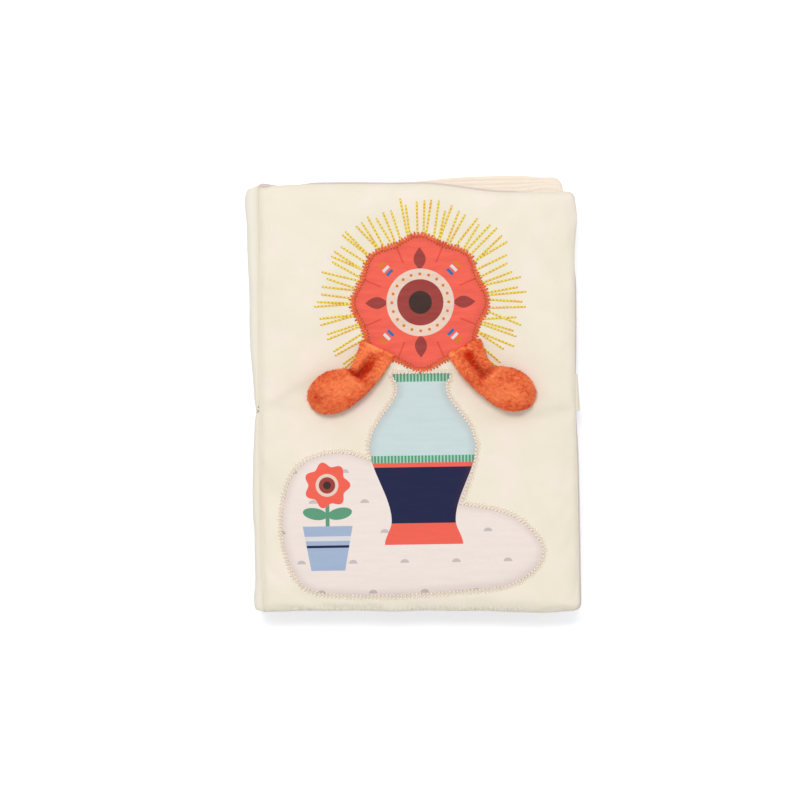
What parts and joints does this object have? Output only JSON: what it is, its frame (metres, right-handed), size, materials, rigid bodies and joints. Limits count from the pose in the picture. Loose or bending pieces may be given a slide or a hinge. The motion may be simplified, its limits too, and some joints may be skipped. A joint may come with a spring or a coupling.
{
  "type": "crinkle cloth book",
  "caption": "Soft cloth book for a baby: padded velour covers, crinkling cloth leaves on a sewn spine, a fore-edge closing strap and stuffed plush leaves that lift.",
  "frame": {"origin": "under the middle of the closed book, on the plane that it lies on", "axes": "+X from the spine to the fore edge, +Y up the page, +Z out of the front cover"},
  "size_m": [0.186, 0.241, 0.0481],
  "materials": {
    "cover_velour": "cream cotton velour, short soft pile",
    "wadding": "white polyester wadding",
    "lining_cloth": "mauve-grey plain-woven cotton",
    "leaf_cloth": "peach printed plain-woven cotton",
    "crinkle_film": "thin crackling film",
    "flower_print": "printed brushed cotton, zigzag-sewn edge",
    "patch_print": "printed brushed cotton, zigzag-sewn edge",
    "strap_cloth": "cream velour, doubled and sewn",
    "hook_strip": "off-white hook tape",
    "loop_strip": "off-white loop tape",
    "plush": "orange short-pile plush"
  },
  "bodies": {
    "back_cover": {"back_cover_velour": "cover_velour", "back_cover_wadding": "wadding", "back_cover_lining": "lining_cloth", "spine_strip_back": "cover_velour", "strap_loop_strip": "loop_strip"},
    "leaf_4": {"leaf_4_back_cloth": "leaf_cloth", "leaf_4_crinkle_film": "crinkle_film", "leaf_4_front_cloth": "leaf_cloth", "spine_strip_4": "cover_velour"},
    "leaf_3": {"leaf_3_back_cloth": "leaf_cloth", "leaf_3_crinkle_film": "crinkle_film", "leaf_3_front_cloth": "leaf_cloth", "spine_strip_3": "cover_velour"},
    "leaf_2": {"leaf_2_back_cloth": "leaf_cloth", "leaf_2_crinkle_film": "crinkle_film", "leaf_2_front_cloth": "leaf_cloth", "spine_strip_2": "cover_velour"},
    "leaf_1": {"leaf_1_back_cloth": "leaf_cloth", "leaf_1_crinkle_film": "crinkle_film", "leaf_1_front_cloth": "leaf_cloth", "spine_strip_1": "cover_velour"},
    "front_cover": {"front_cover_velour": "cover_velour", "front_cover_wadding": "wadding", "front_cover_lining": "lining_cloth", "spine_strip_front": "cover_velour", "flower_patch": "flower_print", "printed_patch": "patch_print"},
    "closing_strap": {"closing_strap": "strap_cloth", "strap_hook_strip": "hook_strip"},
    "left_plush_leaf": {"left_plush_leaf": "plush"},
    "right_plush_leaf": {"right_plush_leaf": "plush"}
  },
  "joints": [
    {"name": "leaf_4_hinge", "type": "hinge", "parent": "back_cover", "child": "leaf_4", "pos_m": [-0.0932, 0, 0.0072], "axis": [0, -1, 0], "range_deg": [0, 15]},
    {"name": "leaf_3_hinge", "type": "hinge", "parent": "leaf_4", "child": "leaf_3", "pos_m": [-0.0932, 0, 0.0122], "axis": [0, -1, 0], "range_deg": [0, 15]},
    {"name": "leaf_2_hinge", "type": "hinge", "parent": "leaf_3", "child": "leaf_2", "pos_m": [-0.0932, 0, 0.0172], "axis": [0, -1, 0], "range_deg": [0, 15]},
    {"name": "leaf_1_hinge", "type": "hinge", "parent": "leaf_2", "child": "leaf_1", "pos_m": [-0.0932, 0, 0.0222], "axis": [0, -1, 0], "range_deg": [0, 15]},
    {"name": "front_cover_hinge", "type": "hinge", "parent": "leaf_1", "child": "front_cover", "pos_m": [-0.0932, 0, 0.0272], "axis": [0, -1, 0], "range_deg": [0, 106]},
    {"name": "closing_strap_hinge", "type": "hinge", "parent": "front_cover", "child": "closing_strap", "pos_m": [0.091, 0.0014, 0.02835], "axis": [0, -1, 0], "range_deg": [0, 95]},
    {"name": "left_plush_leaf_hinge", "type": "hinge", "parent": "front_cover", "child": "left_plush_leaf", "pos_m": [-0.02, 0.027, 0.0366], "axis": [-0.9063, 0.4226, 0], "range_deg": [0, 135]},
    {"name": "right_plush_leaf_hinge", "type": "hinge", "parent": "front_cover", "child": "right_plush_leaf", "pos_m": [0.028, 0.027, 0.0366], "axis": [-0.9063, -0.4226, 0], "range_deg": [0, 135]}
  ]
}
